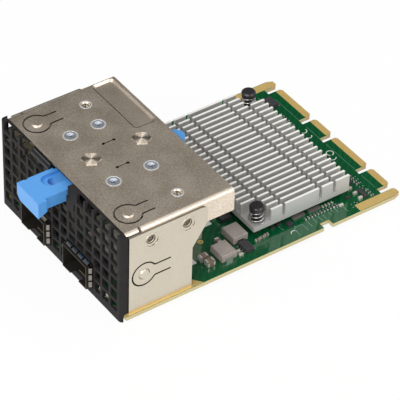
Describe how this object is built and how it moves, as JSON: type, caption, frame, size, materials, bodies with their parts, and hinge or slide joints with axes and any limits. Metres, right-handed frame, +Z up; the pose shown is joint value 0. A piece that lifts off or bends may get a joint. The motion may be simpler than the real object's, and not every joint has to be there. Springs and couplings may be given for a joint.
{
  "type": "ethernet adapter card",
  "caption": "Server network card with a vented black bezel, port cages, a sheet steel cover over the front and a finned heat sink on a green board with gold edge tongues.",
  "frame": {"origin": "on the bezel's outer face, on the card's centre line, level with the underside of the circuit board", "axes": "+Y from the bezel towards the contact tongues, +Z up from the board to the cover, +X to the right seen from the front"},
  "size_m": [0.076, 0.1267, 0.0371],
  "materials": {
    "green_board": "green solder mask on glass fibre laminate",
    "gold": "gold plating over nickel",
    "black_plastic": "moulded black plastic",
    "guide_plastic": "moulded black plastic, smooth",
    "bare_steel": "zinc coated sheet steel, unpainted",
    "nickel": "nickel plated",
    "zinc": "bright zinc plated",
    "tinned": "tinned copper",
    "clear_plastic": "clear cast resin",
    "blue_plastic": "moulded blue plastic",
    "aluminium": "extruded, sawn, clear finish",
    "grey_pad": "soft filled pad",
    "chip_black": "moulded epoxy",
    "inductor_grey": "pressed iron powder",
    "tan_ceramic": "fired ceramic, tinned ends",
    "pale_ceramic": "fired ceramic, tinned ends"
  },
  "bodies": {
    "card": {"circuit_board": "green_board", "contact_fingers": "gold", "edge_plating": "gold", "front_bezel": "black_plastic", "top_cover": "bare_steel", "side_plate_left": "bare_steel", "side_plate_right": "bare_steel", "port_cage_left": "nickel", "port_cage_right": "nickel", "port_connector_left": "black_plastic", "port_connector_right": "black_plastic", "grounding_spring_left": "nickel", "grounding_spring_right": "nickel", "port_lights": "clear_plastic", "slide_guide": "guide_plastic", "return_spring": "nickel", "guide_stud_front": "bare_steel", "guide_stud_rear": "bare_steel", "cover_screws": "zinc", "foot_screws": "zinc", "heat_sink": "aluminium", "thermal_pad": "grey_pad", "network_controller": "chip_black", "push_pin_near": "black_plastic", "push_pin_far": "black_plastic", "pin_spring_near": "nickel", "pin_spring_far": "nickel", "power_inductor_front": "inductor_grey", "power_inductor_rear": "inductor_grey", "inductor_leads": "tinned", "power_chip": "chip_black", "flash_chip": "chip_black", "chip_leads": "tinned", "small_chips": "chip_black", "tan_capacitors": "tan_ceramic", "pale_capacitors": "pale_ceramic", "chip_resistors": "chip_black", "resistor_arrays": "chip_black", "underside_capacitors": "tan_ceramic"},
    "slide": {"release_slide": "blue_plastic"}
  },
  "joints": [
    {"name": "release_pull", "type": "slide", "parent": "card", "child": "slide", "axis": [0, -1, 0], "range_m": [0, 0.006], "stiffness_N_per_m": 150, "springref_m": -0.004, "deforming": ["return_spring"]}
  ]
}
